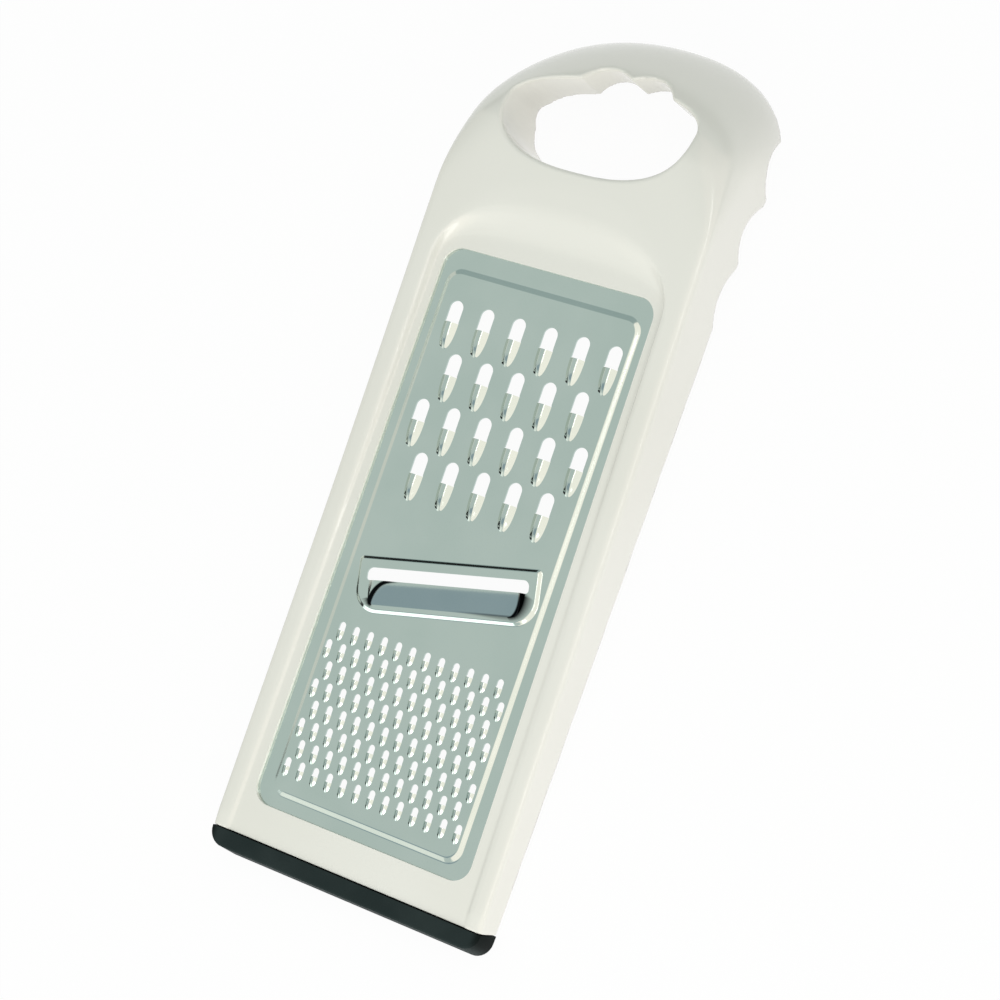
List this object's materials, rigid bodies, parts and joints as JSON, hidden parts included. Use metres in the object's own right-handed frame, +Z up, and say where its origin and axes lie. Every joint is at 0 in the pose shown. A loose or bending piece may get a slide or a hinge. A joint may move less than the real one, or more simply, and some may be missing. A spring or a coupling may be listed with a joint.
{
  "type": "hand grater",
  "caption": "Flat hand grater: a moulded handle frame carries a pressed steel plate with coarse teeth, a slanted slicing slot and fine teeth, and stands on a soft foot.",
  "frame": {"origin": "middle of the underside of the object's box, on the surface that the grater lies on", "axes": "+Y from the foot towards the hand hole, along the grater; +Z up, out of the grating face; +X across it"},
  "size_m": [0.0974, 0.2834, 0.0345],
  "materials": {
    "frame": "ivory moulded plastic with a soft gloss",
    "grating_plate": "bright pressed stainless steel sheet, nearly mirror smooth",
    "non_slip_foot": "satin black rubber"
  },
  "bodies": {
    "root": {"frame": "frame", "grating_plate": "grating_plate", "non_slip_foot": "non_slip_foot"}
  },
  "joints": []
}
